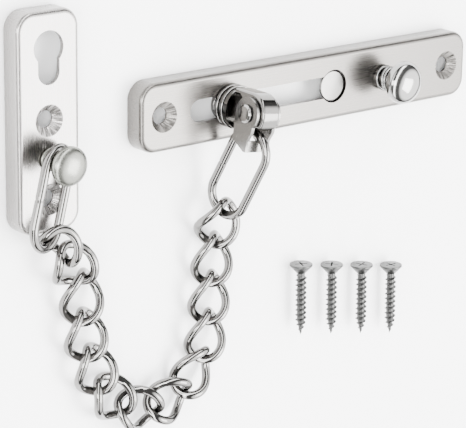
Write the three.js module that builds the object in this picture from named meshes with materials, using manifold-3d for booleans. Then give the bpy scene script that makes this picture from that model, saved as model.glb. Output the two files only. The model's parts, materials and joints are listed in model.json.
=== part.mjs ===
// Sliding door chain guard, laid out flat with its chain and its four wood screws.
// Millimetres, +Z up. The two plates lie on their backs, faces up, and the chain lies between them.
// A pressed jamb plate carries a fixed mushroom post. A long end link hangs on the post, thirteen
// twisted curb links follow, and a second end link hangs in a stirrup that is pinned to a swivel
// head. The head turns on a stud that slides in the slot of the door plate. A sprung button holds a
// latch disc in the round hole at the end of the slot, so the stud cannot be lifted out until it is
// pressed.

import * as THREE from "three";
import { mergeVertices } from "three/addons/utils/BufferGeometryUtils.js";
import Module from "manifold-3d";

const wasm = await Module();
wasm.setup();

// ---------- driving dimensions ----------

const GAP = 0.3;                      // air left between pieces that touch
const SHEET = 1.5;                    // thickness of the pressed plates
const PLATE_WIDTH = 22.2;
const PLATE_HEIGHT = 7.2;             // back of the tray to its face
const PLATE_CORNER = 5.8;             // outline radius at the four corners
const PLATE_BEND = 1.7;               // outside radius where the wall meets the face
const FACE = PLATE_HEIGHT;
const UNDER_FACE = PLATE_HEIGHT - SHEET;

const DOOR_PLATE_LENGTH = 138;
const DOOR_SCREW_X = 60;              // screw holes, either side of the middle
const SLOT_START_X = -46.3;           // centre of the slot's closed end
const SLOT_RADIUS = 3.63;
const RELEASE_HOLE_X = 9.2;
const RELEASE_HOLE_RADIUS = 5.5;
const BUTTON_X = 31;

const JAMB_PLATE_LENGTH = 67.8;
const POST_Y = -10.9;                 // along the jamb plate, from its middle
const JAMB_SCREW_YS = [0.8, -23.4];
const KEYHOLE_Y = 22.7;
const KEYHOLE_RADIUS = 5.25;
const KEYHOLE_NECK_Y = 15.4;
const KEYHOLE_NECK_RADIUS = 3.8;

const COUNTERSINK_RADIUS = 4.9;
const SCREW_HOLE_RADIUS = 2.65;
const COUNTERSINK_DEPTH = 2.4;
const DIMPLE_WALL = 1.1;

const KNOB_RADIUS = 6.1;              // mushroom head of the fixed post
const KNOB_UNDERSIDE = 15.3;
const KNOB_TOP = 20.2;
const POST_NECK_RADIUS = 2.8;

const BUTTON_RADIUS = 7;
const BUTTON_UNDERSIDE = 15.2;
const BUTTON_TOP = 21.4;
const BUTTON_STEM_RADIUS = 2.5;
const STRIP_TOP = UNDER_FACE - GAP;
const STRIP_THICKNESS = 0.9;
const LATCH_DISC_RADIUS = 5;
const LATCH_DISC_TOP = 6.6;

const SLIDER_X = -33.8;               // along the door plate, from its middle
const FLANGE_RADIUS = 7;
const FLANGE_TOP = 11;
const HEAD_WIDTH = 6.7;               // swivel head, along the pin
const HEAD_RADIUS = 6.6;              // round outer end, about the pin
const HEAD_BASE = FLANGE_TOP + GAP;
const HEAD_BELOW_PIN = 3.8;
const HEAD_ARM_SHEET = 2;            // flat underside of the head, from the pin's axis
const FOOT_SHEET = 1.5;
const PIVOT_RADIUS = 1.6;
const PIN_HEIGHT = 20.6;
const HEAD_BLOCK_BACK = PIN_HEIGHT - 4.4;
const HEAD_ARM_CORNER = 1.6;
const PIN_RADIUS = 2;
const CHEEK_RADIUS = 5.2;
const CHEEK_SHEET = 1.1;
const BRIDGE_TOP = 8.4;               // bridge between the stirrup's tongues, down from the pin
const BRIDGE_BOTTOM = 11.9;
const BRIDGE_FRONT = 1.6;             // outer face of the bridge, up from the pin

const WIRE_RADIUS = 1.35;
const WIRE_PLAY = 0.6;
const CROSSING = 2 * WIRE_RADIUS + WIRE_PLAY;   // wire centre to wire centre where links hook
const LINK_PITCH = 12.8;
const LINK_HALF_WIDTH = 6.4;
const LINK_TWIST = 45;                // each end of a curb link, either way from flat
const END_LINK_LENGTH = 30.5;         // wire centre to wire centre
const END_LINK_HALF_WIDTH = 7;

const SCREW_LENGTH = 25;
const SCREW_HEAD_RADIUS = 3.85;
const SCREW_HEAD_HEIGHT = 3.1;
const SCREW_CORE_RADIUS = 1.35;
const SCREW_THREAD_RADIUS = 1.95;

// How the chain lies, post end first. Headings are in degrees from +X, rolls about each link's run.
const LINK_HEADINGS = [
  -50.7, -47.9, -91.8, -78.2, -69.7, -47.5, -14.4, 18.9, 52.1, 83, 85.1, 85.5, 90.9,
];
const LINK_ROLLS = [64.16, 15.33, 0, 0, 0, 0, 0, 0, 0, 0, 0, 0, -15];
const CHAIN_HEIGHT = 4.6;             // axis of a curb link that lies flat
const POST_LINK_HEADING = -108.06;
const POST_LINK_ROLL = -23.62;
const POST_LINK_HEIGHT = 12.05;
const POST_LINK_DROP = -2.3;          // below zero, so its far end is the higher one
const POST_LINK_HOOK_ANGLE = 62.11;   // round its far bend to where the first curb link hangs
const STIRRUP_LINK_HEADING = 82.1;
const STIRRUP_LINK_ROLL = -79;
const FIRST_LINK_LOW_END = 6.88;      // height of the crossing of the first two curb links
const STIRRUP_LINK_LOW_END = 9;       // height of its crossing with the last curb link

const LATHE_SEGMENTS = 20;

// ---------- materials ----------

function metal(name, color, roughness) {
  return new THREE.MeshStandardMaterial({ name, color, roughness, metalness: 1 });
}

const satinSteel = () => metal("satin_steel", 0xc8c5c0, 0.38);
const polishedSteel = () => metal("polished_steel", 0xd6d6d4, 0.12);
const platedWire = () => metal("plated_wire", 0xcfd0d2, 0.15);
const springSteel = () => metal("spring_steel", 0x9a9a98, 0.3);
const screwSteel = () => metal("screw_steel", 0xa4a4a3, 0.35);

// ---------- solids ----------

function solidFrom(geometry) {
  let merged = geometry.index ? geometry.clone() : geometry;
  merged.deleteAttribute("normal");
  merged.deleteAttribute("uv");
  merged = mergeVertices(merged, 1e-4);
  const mesh = new wasm.Mesh({
    numProp: 3,
    vertProperties: new Float32Array(merged.attributes.position.array),
    triVerts: new Uint32Array(merged.index.array),
  });
  return new wasm.Manifold(mesh);
}

function geometryFrom(solid) {
  const mesh = solid.getMesh();
  const geometry = new THREE.BufferGeometry();
  geometry.setAttribute("position", new THREE.BufferAttribute(new Float32Array(mesh.vertProperties), 3));
  geometry.setIndex(new THREE.BufferAttribute(new Uint32Array(mesh.triVerts), 1));
  geometry.computeVertexNormals();
  return geometry;
}

// A turned piece about +Z from [radius, height] pairs, bottom to top, starting and ending on the axis.
function turned(profile, segments = LATHE_SEGMENTS) {
  const points = profile.map(([r, z]) => new THREE.Vector2(r, z));
  const geometry = new THREE.LatheGeometry(points, segments);
  geometry.rotateX(Math.PI / 2);
  return geometry;
}

function turnedAt(profile, x, y, segments) {
  return turned(profile, segments).translate(x, y, 0);
}

function cylinderAt(radius, bottom, top, x = 0, y = 0) {
  return turnedAt([[0, bottom], [radius, bottom], [radius, top], [0, top]], x, y);
}

function roundedRectangle(width, length, radius) {
  const w = width / 2;
  const l = length / 2;
  const shape = new THREE.Shape();
  shape.moveTo(-w + radius, -l);
  shape.lineTo(w - radius, -l);
  shape.absarc(w - radius, -l + radius, radius, -Math.PI / 2, 0);
  shape.lineTo(w, l - radius);
  shape.absarc(w - radius, l - radius, radius, 0, Math.PI / 2);
  shape.lineTo(-w + radius, l);
  shape.absarc(-w + radius, l - radius, radius, Math.PI / 2, Math.PI);
  shape.lineTo(-w, -l + radius);
  shape.absarc(-w + radius, -l + radius, radius, Math.PI, 1.5 * Math.PI);
  return shape;
}

// A block with rounded upper edges that runs down past z = 0.
function roundedBlock(width, length, corner, bend, top) {
  const below = 2;
  const outline = roundedRectangle(width - 2 * bend, length - 2 * bend, corner - bend);
  const geometry = new THREE.ExtrudeGeometry(outline, {
    depth: top + below - 2 * bend,
    bevelEnabled: true,
    bevelThickness: bend,
    bevelSize: bend,
    bevelSegments: 2,
    curveSegments: 4,
  });
  return geometry.translate(0, 0, bend - below);
}

// A pressed tray with an open back: rounded face, four walls, sheet of even thickness.
function tray(width, length) {
  const outer = solidFrom(roundedBlock(width, length, PLATE_CORNER, PLATE_BEND, PLATE_HEIGHT));
  const inner = solidFrom(roundedBlock(
    width - 2 * SHEET, length - 2 * SHEET, PLATE_CORNER - SHEET, 0.5, PLATE_HEIGHT - SHEET));
  const floor = new THREE.BoxGeometry(width * 2, length * 2, 10).translate(0, 0, -5);
  return outer.subtract(inner).subtract(solidFrom(floor));
}

// The sheet is pressed down round each screw hole, so the head sits flush.
function withCountersunkHole(plate, x, y) {
  const bottom = FACE - COUNTERSINK_DEPTH - 0.6;
  const dimple = turnedAt([
    [0, bottom],
    [SCREW_HOLE_RADIUS + DIMPLE_WALL, bottom],
    [COUNTERSINK_RADIUS + DIMPLE_WALL, UNDER_FACE + 0.4],
    [0, UNDER_FACE + 0.4],
  ], x, y);
  const cone = turnedAt([
    [0, bottom - 1],
    [SCREW_HOLE_RADIUS, bottom - 1],
    [SCREW_HOLE_RADIUS, FACE - COUNTERSINK_DEPTH],
    [COUNTERSINK_RADIUS, FACE + 0.02],
    [COUNTERSINK_RADIUS, FACE + 1],
    [0, FACE + 1],
  ], x, y);
  return plate.add(solidFrom(dimple)).subtract(solidFrom(cone));
}

// A round-ended slot through the face, from one centre to the other.
function slotCutter(x1, y1, x2, y2, radius) {
  const angle = Math.atan2(y2 - y1, x2 - x1);
  const reach = Math.hypot(x2 - x1, y2 - y1);
  const shape = new THREE.Shape();
  shape.absarc(0, 0, radius, Math.PI / 2, 1.5 * Math.PI);
  shape.absarc(reach, 0, radius, -Math.PI / 2, Math.PI / 2);
  const geometry = new THREE.ExtrudeGeometry(shape, { depth: 6, bevelEnabled: false, curveSegments: 12 });
  return solidFrom(geometry.translate(0, 0, FACE - 4).rotateZ(angle).translate(x1, y1, 0));
}

function jambPlate() {
  let plate = tray(PLATE_WIDTH, JAMB_PLATE_LENGTH);
  for (const y of JAMB_SCREW_YS) plate = withCountersunkHole(plate, 0, y);
  plate = plate.subtract(solidFrom(cylinderAt(KEYHOLE_RADIUS, FACE - 4, FACE + 2, 0, KEYHOLE_Y)));
  plate = plate.subtract(slotCutter(0, KEYHOLE_NECK_Y, 0, KEYHOLE_Y, KEYHOLE_NECK_RADIUS));
  plate = plate.subtract(solidFrom(cylinderAt(POST_NECK_RADIUS + GAP, FACE - 4, FACE + 2, 0, POST_Y)));
  return geometryFrom(plate);
}

function doorPlate() {
  let plate = tray(DOOR_PLATE_LENGTH, PLATE_WIDTH);
  for (const x of [-DOOR_SCREW_X, DOOR_SCREW_X]) plate = withCountersunkHole(plate, x, 0);
  plate = plate.subtract(slotCutter(SLOT_START_X, 0, RELEASE_HOLE_X, 0, SLOT_RADIUS));
  plate = plate.subtract(solidFrom(cylinderAt(RELEASE_HOLE_RADIUS, FACE - 4, FACE + 2, RELEASE_HOLE_X)));
  const buttonHole = cylinderAt(BUTTON_STEM_RADIUS + GAP, FACE - 4, FACE + 2, BUTTON_X);
  return geometryFrom(plate.subtract(solidFrom(buttonHole)));
}

// The dome of a knob, from its rim over the top to the axis.
function domeProfile(radius, rimHeight, top, points = 5) {
  const profile = [];
  for (let i = 0; i <= points; i += 1) {
    const angle = (i / points) * Math.PI / 2;
    profile.push([radius * Math.cos(angle), rimHeight + (top - rimHeight) * Math.sin(angle)]);
  }
  profile[points][0] = 0;
  return profile;
}

// Fixed post of the jamb plate: rivet head behind the sheet, shoulder, neck and mushroom head.
function jambPost() {
  return turned([
    [0, UNDER_FACE - 1.5],
    [4.2, UNDER_FACE - 1.5],
    [4.6, UNDER_FACE - 1.1],
    [4.6, UNDER_FACE - GAP],
    [POST_NECK_RADIUS, UNDER_FACE - GAP],
    [POST_NECK_RADIUS, FACE + GAP],
    [3.6, FACE + GAP],
    [3.6, FACE + 0.9],
    [POST_NECK_RADIUS, FACE + 1.3],
    [POST_NECK_RADIUS, KNOB_UNDERSIDE],
    [KNOB_RADIUS - 1.2, KNOB_UNDERSIDE + 0.4],
    [KNOB_RADIUS - 0.2, KNOB_UNDERSIDE + 1.3],
    ...domeProfile(KNOB_RADIUS, KNOB_UNDERSIDE + 2, KNOB_TOP),
  ]);
}

// Release button: domed head, hollow below for the spring, and a stem through the plate.
function releaseButton() {
  return turned([
    [0, STRIP_TOP - STRIP_THICKNESS - 0.6],
    [BUTTON_STEM_RADIUS, STRIP_TOP - STRIP_THICKNESS - 0.6],
    [BUTTON_STEM_RADIUS, BUTTON_UNDERSIDE + 1],
    [4.9, BUTTON_UNDERSIDE + 1],
    [4.9, BUTTON_UNDERSIDE],
    [BUTTON_RADIUS - 0.9, BUTTON_UNDERSIDE],
    [BUTTON_RADIUS - 0.1, BUTTON_UNDERSIDE + 1],
    ...domeProfile(BUTTON_RADIUS, BUTTON_UNDERSIDE + 2.2, BUTTON_TOP),
  ]);
}

// Flat latch strip behind the face, with a hole for the button stem and one for the disc's rivet.
function latchStrip() {
  const reach = BUTTON_X - RELEASE_HOLE_X;
  const width = 7;
  const shape = new THREE.Shape();
  shape.absarc(0, 0, width / 2, Math.PI / 2, 1.5 * Math.PI);
  shape.absarc(reach, 0, width / 2 + 1, -Math.PI / 2, Math.PI / 2);
  const geometry = new THREE.ExtrudeGeometry(shape, {
    depth: STRIP_THICKNESS, bevelEnabled: false, curveSegments: 8,
  });
  const strip = solidFrom(geometry.translate(-reach, 0, STRIP_TOP - STRIP_THICKNESS));
  const stemHole = cylinderAt(BUTTON_STEM_RADIUS + GAP, 0, FACE);
  const rivetHole = cylinderAt(1.5 + GAP, 0, FACE, -reach);
  return geometryFrom(strip.subtract(solidFrom(stemHole)).subtract(solidFrom(rivetHole)));
}

// Latch disc that fills the round hole, riveted through the strip.
function latchDisc() {
  const stripBottom = STRIP_TOP - STRIP_THICKNESS;
  return turned([
    [0, stripBottom - GAP - 0.5],
    [2.4, stripBottom - GAP - 0.5],
    [2.4, stripBottom - GAP],
    [1.5, stripBottom - GAP],
    [1.5, STRIP_TOP + GAP],
    [LATCH_DISC_RADIUS, STRIP_TOP + GAP],
    [LATCH_DISC_RADIUS, LATCH_DISC_TOP - 0.2],
    [LATCH_DISC_RADIUS - 0.2, LATCH_DISC_TOP],
    [0, LATCH_DISC_TOP],
  ]);
}

// Headed stud that runs in the slot: head behind the sheet, neck, grooved flange and riveted pivot.
function sliderStud() {
  return turned([
    [0, 3.3],
    [4.9, 3.3],
    [5.2, 3.6],
    [5.2, 5],
    [3.3, 5.3],
    [3.3, FACE + GAP],
    [FLANGE_RADIUS - 0.3, FACE + GAP],
    [FLANGE_RADIUS, FACE + GAP + 0.3],
    [FLANGE_RADIUS, 8.9],
    [FLANGE_RADIUS - 0.7, 9.2],
    [FLANGE_RADIUS, 9.5],
    [FLANGE_RADIUS, FLANGE_TOP - 0.4],
    [FLANGE_RADIUS - 0.4, FLANGE_TOP],
    [PIVOT_RADIUS, FLANGE_TOP],
    [PIVOT_RADIUS, HEAD_BASE + FOOT_SHEET + GAP],
    [2.6, HEAD_BASE + FOOT_SHEET + GAP],
    [2.2, HEAD_BASE + FOOT_SHEET + GAP + 0.7],
    [0, HEAD_BASE + FOOT_SHEET + GAP + 0.7],
  ]);
}

// Swivel head: a round foot on the stud's pivot, an arm up from the foot and a block for the pin.
function swivelHead() {
  const armInside = HEAD_RADIUS - HEAD_ARM_SHEET;
  const end = Math.acos(-HEAD_BELOW_PIN / HEAD_RADIUS);
  const bevel = 0.4;
  const side = new THREE.Shape();
  side.moveTo(-HEAD_BELOW_PIN, HEAD_BLOCK_BACK);
  side.lineTo(armInside - HEAD_ARM_CORNER, HEAD_BLOCK_BACK);
  side.lineTo(armInside, HEAD_BLOCK_BACK - HEAD_ARM_CORNER);
  side.lineTo(armInside, HEAD_BASE + bevel);
  side.lineTo(HEAD_RADIUS, HEAD_BASE + bevel);
  side.lineTo(HEAD_RADIUS, PIN_HEIGHT);
  side.absarc(0, PIN_HEIGHT, HEAD_RADIUS, 0, end, false);
  const block = new THREE.ExtrudeGeometry(side, {
    depth: HEAD_WIDTH - 2 * bevel,
    bevelThickness: bevel,
    bevelSize: bevel,
    bevelOffset: -bevel,
    bevelSegments: 2,
    curveSegments: 12,
  });
  block.translate(0, 0, bevel - HEAD_WIDTH / 2).applyMatrix4(acrossToPin());
  const pivotHole = cylinderAt(PIVOT_RADIUS + GAP, HEAD_BASE - 1, HEAD_BASE + FOOT_SHEET + 1);
  return geometryFrom(solidFrom(block)
    .add(solidFrom(cylinderAt(HEAD_RADIUS, HEAD_BASE, HEAD_BASE + FOOT_SHEET)))
    .subtract(solidFrom(pivotHole))
    .subtract(solidFrom(acrossCylinder(PIN_RADIUS + GAP, 20))));
}

// Turns a shape drawn in local Y and Z, and extruded, so that its thickness runs along local X.
function acrossToPin() {
  return new THREE.Matrix4().makeBasis(
    new THREE.Vector3(0, 1, 0), new THREE.Vector3(0, 0, 1), new THREE.Vector3(1, 0, 0));
}

// Cylinder along local X through the pin's axis.
function acrossCylinder(radius, length) {
  const geometry = turned([[0, -length / 2], [radius, -length / 2], [radius, length / 2], [0, length / 2]]);
  return geometry.rotateY(Math.PI / 2).translate(0, 0, PIN_HEIGHT);
}

// One cheek of the stirrup: a disc on the pin with a pointed tongue below it.
function cheek(start) {
  const shape = new THREE.Shape();
  shape.moveTo(0, -CHEEK_RADIUS);
  shape.lineTo(-8.8, -CHEEK_RADIUS);
  shape.lineTo(-BRIDGE_BOTTOM, BRIDGE_FRONT - 1.2);
  shape.lineTo(-BRIDGE_BOTTOM, BRIDGE_FRONT);
  shape.lineTo(-BRIDGE_TOP, BRIDGE_FRONT);
  shape.lineTo(-5.6, 3.2);
  shape.lineTo(-3.9, CHEEK_RADIUS * 0.66);
  shape.absarc(0, 0, CHEEK_RADIUS, 0.77 * Math.PI, -0.5 * Math.PI, true);
  const geometry = new THREE.ExtrudeGeometry(shape, {
    depth: CHEEK_SHEET, bevelEnabled: false, curveSegments: 12,
  });
  return solidFrom(geometry.translate(0, 0, start).applyMatrix4(acrossToPin()).translate(0, 0, PIN_HEIGHT));
}

// Stirrup: two cheeks outside the swivel head, joined under it by a bridge that carries the end link.
function stirrup() {
  const inside = HEAD_WIDTH / 2 + GAP;
  const bridge = new THREE.BoxGeometry(
    2 * inside + CHEEK_SHEET, BRIDGE_BOTTOM - BRIDGE_TOP, CHEEK_SHEET);
  bridge.translate(0, -(BRIDGE_TOP + BRIDGE_BOTTOM) / 2, PIN_HEIGHT + BRIDGE_FRONT - CHEEK_SHEET / 2);
  return geometryFrom(cheek(inside)
    .add(cheek(-inside - CHEEK_SHEET))
    .add(solidFrom(bridge))
    .subtract(solidFrom(acrossCylinder(PIN_RADIUS + GAP, 30))));
}

// Rivet through the head and the cheeks, with a low domed head at each end.
function headPin() {
  const outside = HEAD_WIDTH / 2 + 2 * GAP + CHEEK_SHEET;
  const geometry = turned([
    [0, -outside - 1.1],
    [1.7, -outside - 0.9],
    [2.9, -outside - 0.3],
    [2.9, -outside],
    [PIN_RADIUS, -outside],
    [PIN_RADIUS, outside],
    [2.9, outside],
    [2.9, outside + 0.3],
    [1.7, outside + 0.9],
    [0, outside + 1.1],
  ]);
  return geometry.rotateY(Math.PI / 2).translate(0, 0, PIN_HEIGHT);
}

// Round wire bent into a closed ring: path(t) gives the centre, across(t) a direction off the tangent.
function closedWire(path, across, steps, sides = 8) {
  const positions = [];
  const index = [];
  const tangent = new THREE.Vector3();
  for (let i = 0; i < steps; i += 1) {
    const t = i / steps;
    const centre = path(t);
    tangent.subVectors(path((i + 0.5) / steps), path((i - 0.5) / steps)).normalize();
    const a = across(t).addScaledVector(tangent, -across(t).dot(tangent)).normalize();
    const b = new THREE.Vector3().crossVectors(tangent, a);
    for (let k = 0; k < sides; k += 1) {
      const angle = ((k + 0.5) / sides) * 2 * Math.PI;
      const x = WIRE_RADIUS * Math.cos(angle);
      const y = WIRE_RADIUS * Math.sin(angle);
      const at = centre.clone().addScaledVector(a, x).addScaledVector(b, y);
      positions.push(at.x, at.y, at.z);
    }
  }
  for (let i = 0; i < steps; i += 1) {
    for (let k = 0; k < sides; k += 1) {
      const here = i * sides + k;
      const round = i * sides + ((k + 1) % sides);
      const next = ((i + 1) % steps) * sides + k;
      const nextRound = ((i + 1) % steps) * sides + ((k + 1) % sides);
      index.push(here, round, nextRound, here, nextRound, next);
    }
  }
  const geometry = new THREE.BufferGeometry();
  geometry.setAttribute("position", new THREE.Float32BufferAttribute(positions, 3));
  geometry.setIndex(index);
  geometry.computeVertexNormals();
  return geometry;
}

// Curb link along local X, its near crossing at the origin. Each end is turned out of flat by the twist.
function curbLink() {
  const half = (LINK_PITCH + CROSSING) / 2;
  const middle = LINK_PITCH / 2;
  const twistAt = (x) => THREE.MathUtils.degToRad(LINK_TWIST) * (x - middle) / half;
  const path = (t) => {
    const angle = t * 2 * Math.PI;
    const x = middle - half * Math.cos(angle);
    const y = LINK_HALF_WIDTH * Math.sin(angle);
    const twist = twistAt(x);
    return new THREE.Vector3(x, y * Math.cos(twist), y * Math.sin(twist));
  };
  const across = (t) => {
    const twist = twistAt(path(t).x);
    return new THREE.Vector3(0, -Math.sin(twist), Math.cos(twist));
  };
  return closedWire(path, across, 26);
}

// Flat end link with straight sides, along local X from its near apex at x = start.
function endLink(start) {
  const length = END_LINK_LENGTH;
  const halfWidth = END_LINK_HALF_WIDTH;
  const straight = length - 2 * halfWidth;
  const arc = Math.PI * halfWidth;
  const total = 2 * (arc + straight);
  const near = start + halfWidth;
  const far = start + length - halfWidth;
  const bend = (centre, angle) => new THREE.Vector3(
    centre + halfWidth * Math.cos(angle), halfWidth * Math.sin(angle), 0);
  const path = (t) => {
    const s = ((t + 1) % 1) * total;
    if (s < arc) return bend(near, 1.5 * Math.PI - s / halfWidth);
    if (s < arc + straight) return new THREE.Vector3(near + s - arc, halfWidth, 0);
    if (s < 2 * arc + straight) return bend(far, 0.5 * Math.PI - (s - arc - straight) / halfWidth);
    return new THREE.Vector3(far - (s - 2 * arc - straight), -halfWidth, 0);
  };
  return closedWire(path, () => new THREE.Vector3(0, 0, 1), 36);
}

// Compression spring round the button's stem, from the plate's face up into the button.
function buttonSpring() {
  const coilRadius = 3.75;
  const wire = 0.5;
  const bottom = FACE + GAP + wire;
  const top = BUTTON_UNDERSIDE + 1 - GAP - wire;
  const turns = 4.5;
  class Helix extends THREE.Curve {
    getPoint(t) {
      const angle = t * turns * 2 * Math.PI;
      const height = bottom + (top - bottom) * t;
      return new THREE.Vector3(coilRadius * Math.cos(angle), coilRadius * Math.sin(angle), height);
    }
  }
  const section = new THREE.Shape();
  section.absarc(0, 0, wire, 0, 2 * Math.PI);
  const geometry = new THREE.ExtrudeGeometry(section, {
    steps: 60, extrudePath: new Helix(), bevelEnabled: false, curveSegments: 3,
  });
  return geometryFrom(solidFrom(geometry));
}

// Countersunk wood screw along local X, head end at the origin, point away.
function woodScrew() {
  const tipLength = 5;
  const ridgePitch = 2.5;
  const profile = [
    [0, 0],
    [SCREW_HEAD_RADIUS, 0],
    [SCREW_HEAD_RADIUS, 0.4],
    [SCREW_CORE_RADIUS + 0.2, SCREW_HEAD_HEIGHT],
  ];
  for (let z = SCREW_HEAD_HEIGHT + 1; z < SCREW_LENGTH - tipLength; z += ridgePitch) {
    profile.push([SCREW_CORE_RADIUS, z], [SCREW_THREAD_RADIUS, z + ridgePitch / 2]);
  }
  profile.push([SCREW_CORE_RADIUS, SCREW_LENGTH - tipLength], [0, SCREW_LENGTH]);
  return turned(profile, 12).rotateY(Math.PI / 2);
}

// ---------- assembly ----------

const guard = new THREE.Group();

function add(name, geometry, material, position = new THREE.Vector3(), quaternion = null) {
  const mesh = new THREE.Mesh(geometry, material);
  mesh.name = name;
  mesh.position.copy(position);
  if (quaternion) mesh.quaternion.copy(quaternion);
  guard.add(mesh);
  return mesh;
}

// Local X along a direction, local Z as near up as it can be, then rolled about the direction.
function facing(direction, rollDegrees = 0) {
  const along = direction.clone().normalize();
  const side = new THREE.Vector3(0, 0, 1).cross(along).normalize();
  const up = along.clone().cross(side);
  const basis = new THREE.Matrix4().makeBasis(along, side, up);
  const turn = new THREE.Quaternion().setFromRotationMatrix(basis);
  const rollAngle = THREE.MathUtils.degToRad(rollDegrees);
  const roll = new THREE.Quaternion().setFromAxisAngle(new THREE.Vector3(1, 0, 0), rollAngle);
  return turn.multiply(roll);
}

function headed(degrees, length, rise) {
  const level = Math.sqrt(length * length - rise * rise);
  const angle = THREE.MathUtils.degToRad(degrees);
  return new THREE.Vector3(level * Math.cos(angle), level * Math.sin(angle), rise);
}

// Jamb plate with its post; the post's axis is the start of the chain.
const post = new THREE.Vector3(0, 0, 0);
add("jamb_plate", jambPlate(), satinSteel(), new THREE.Vector3(0, -POST_Y, 0));
add("jamb_post", jambPost(), polishedSteel(), post);

// End link on the post. The first curb link hangs on the side of its far bend.
const apexBehindPost = POST_NECK_RADIUS + WIRE_RADIUS + GAP;
const postLinkStart = new THREE.Vector3(0, 0, POST_LINK_HEIGHT);
const postLinkRun = headed(POST_LINK_HEADING, END_LINK_LENGTH - apexBehindPost, -POST_LINK_DROP);
const postLinkTurn = facing(postLinkRun, POST_LINK_ROLL);
add("post_link", endLink(-apexBehindPost), platedWire(), postLinkStart, postLinkTurn);
const hookAngle = THREE.MathUtils.degToRad(POST_LINK_HOOK_ANGLE);
const hook = new THREE.Vector3(Math.cos(hookAngle), Math.sin(hookAngle), 0)
  .multiplyScalar(END_LINK_HALF_WIDTH - CROSSING / 2);
hook.x += END_LINK_LENGTH - apexBehindPost - END_LINK_HALF_WIDTH;

// Curb links, post end first; the crossings drop to the lying height and rise again at the stirrup.
const crossings = [hook.applyQuaternion(postLinkTurn).add(postLinkStart)];
const lowEnds = LINK_HEADINGS.map(() => CHAIN_HEIGHT);
lowEnds[0] = FIRST_LINK_LOW_END;
lowEnds[lowEnds.length - 1] = STIRRUP_LINK_LOW_END;
LINK_HEADINGS.forEach((heading, i) => {
  const from = crossings[i];
  const run = headed(heading, LINK_PITCH, lowEnds[i] - from.z);
  const name = `chain_link_${String(i + 1).padStart(2, "0")}`;
  add(name, curbLink(), platedWire(), from, facing(run, LINK_ROLLS[i]));
  crossings.push(from.clone().add(run));
});

// End link from the last crossing up to the stirrup, where it lies over the bridge.
const lastCrossing = crossings[crossings.length - 1];
const apexHeight = PIN_HEIGHT + BRIDGE_FRONT - CHEEK_SHEET / 2;
const stirrupLinkReach = END_LINK_LENGTH - CROSSING / 2;
const stirrupLinkRun = headed(STIRRUP_LINK_HEADING, stirrupLinkReach, apexHeight - lastCrossing.z);
const bridgeCrossing = lastCrossing.clone().add(stirrupLinkRun);
const stirrupLinkTurn = facing(stirrupLinkRun, STIRRUP_LINK_ROLL);
add("stirrup_link", endLink(-CROSSING / 2), platedWire(), lastCrossing, stirrupLinkTurn);

// Swivel head, stirrup and stud stand where the end link's apex rests on the bridge.
const swivelDegrees = STIRRUP_LINK_HEADING - 90;
const swivel = new THREE.Quaternion().setFromAxisAngle(
  new THREE.Vector3(0, 0, 1), THREE.MathUtils.degToRad(swivelDegrees));
const bridgeOffset = BRIDGE_TOP - WIRE_RADIUS - 2 * GAP;
const stud = new THREE.Vector3(0, bridgeOffset, 0).applyQuaternion(swivel);
stud.add(new THREE.Vector3(bridgeCrossing.x, bridgeCrossing.y, 0));
add("stirrup", stirrup(), polishedSteel(), stud, swivel);
add("stirrup_pin", headPin(), polishedSteel(), stud, swivel);
add("swivel_head", swivelHead(), polishedSteel(), stud, swivel);
add("slider_stud", sliderStud(), polishedSteel(), stud);

// Door plate, with the slider where the chain brings it.
const doorCentre = new THREE.Vector3(stud.x - SLIDER_X, stud.y, 0);
add("door_plate", doorPlate(), satinSteel(), doorCentre);
const button = new THREE.Vector3(doorCentre.x + BUTTON_X, doorCentre.y, 0);
add("release_button", releaseButton(), polishedSteel(), button);
add("button_spring", buttonSpring(), springSteel(), button);
add("latch_strip", latchStrip(), springSteel(), button);
const releaseHole = new THREE.Vector3(doorCentre.x + RELEASE_HOLE_X, doorCentre.y, 0);
add("latch_disc", latchDisc(), polishedSteel(), releaseHole);

// Four loose wood screws in a row below the door plate, points away from it.
const SCREW_COUNT = 4;
const SCREW_SPACING = 13.65;
const SCREW_SKEW = -2.75;
const firstScrew = new THREE.Vector3(doorCentre.x - 0.1, doorCentre.y - 59.9, SCREW_HEAD_RADIUS);
const screwTurn = facing(new THREE.Vector3(0.017, -1, 0));
for (let i = 0; i < SCREW_COUNT; i += 1) {
  const step = new THREE.Vector3(i * SCREW_SPACING, i * SCREW_SKEW, 0);
  add(`wood_screw_${i + 1}`, woodScrew(), screwSteel(), step.add(firstScrew), screwTurn);
}

// Origin at the middle of the underside of everything.
const box = new THREE.Box3();
guard.updateMatrixWorld(true);
for (const mesh of guard.children) {
  const shape = mesh.geometry.clone().applyMatrix4(mesh.matrixWorld);
  shape.computeBoundingBox();
  box.union(shape.boundingBox);
}
const middle = box.getCenter(new THREE.Vector3());
guard.children.forEach((mesh) => mesh.position.sub(new THREE.Vector3(middle.x, middle.y, box.min.z)));

export default guard;
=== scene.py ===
"""Door chain guard: high-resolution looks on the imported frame, with camera, floor and studio light."""

import json
import math

import bmesh
import bpy
from mathutils import Matrix, Quaternion, Vector


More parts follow.
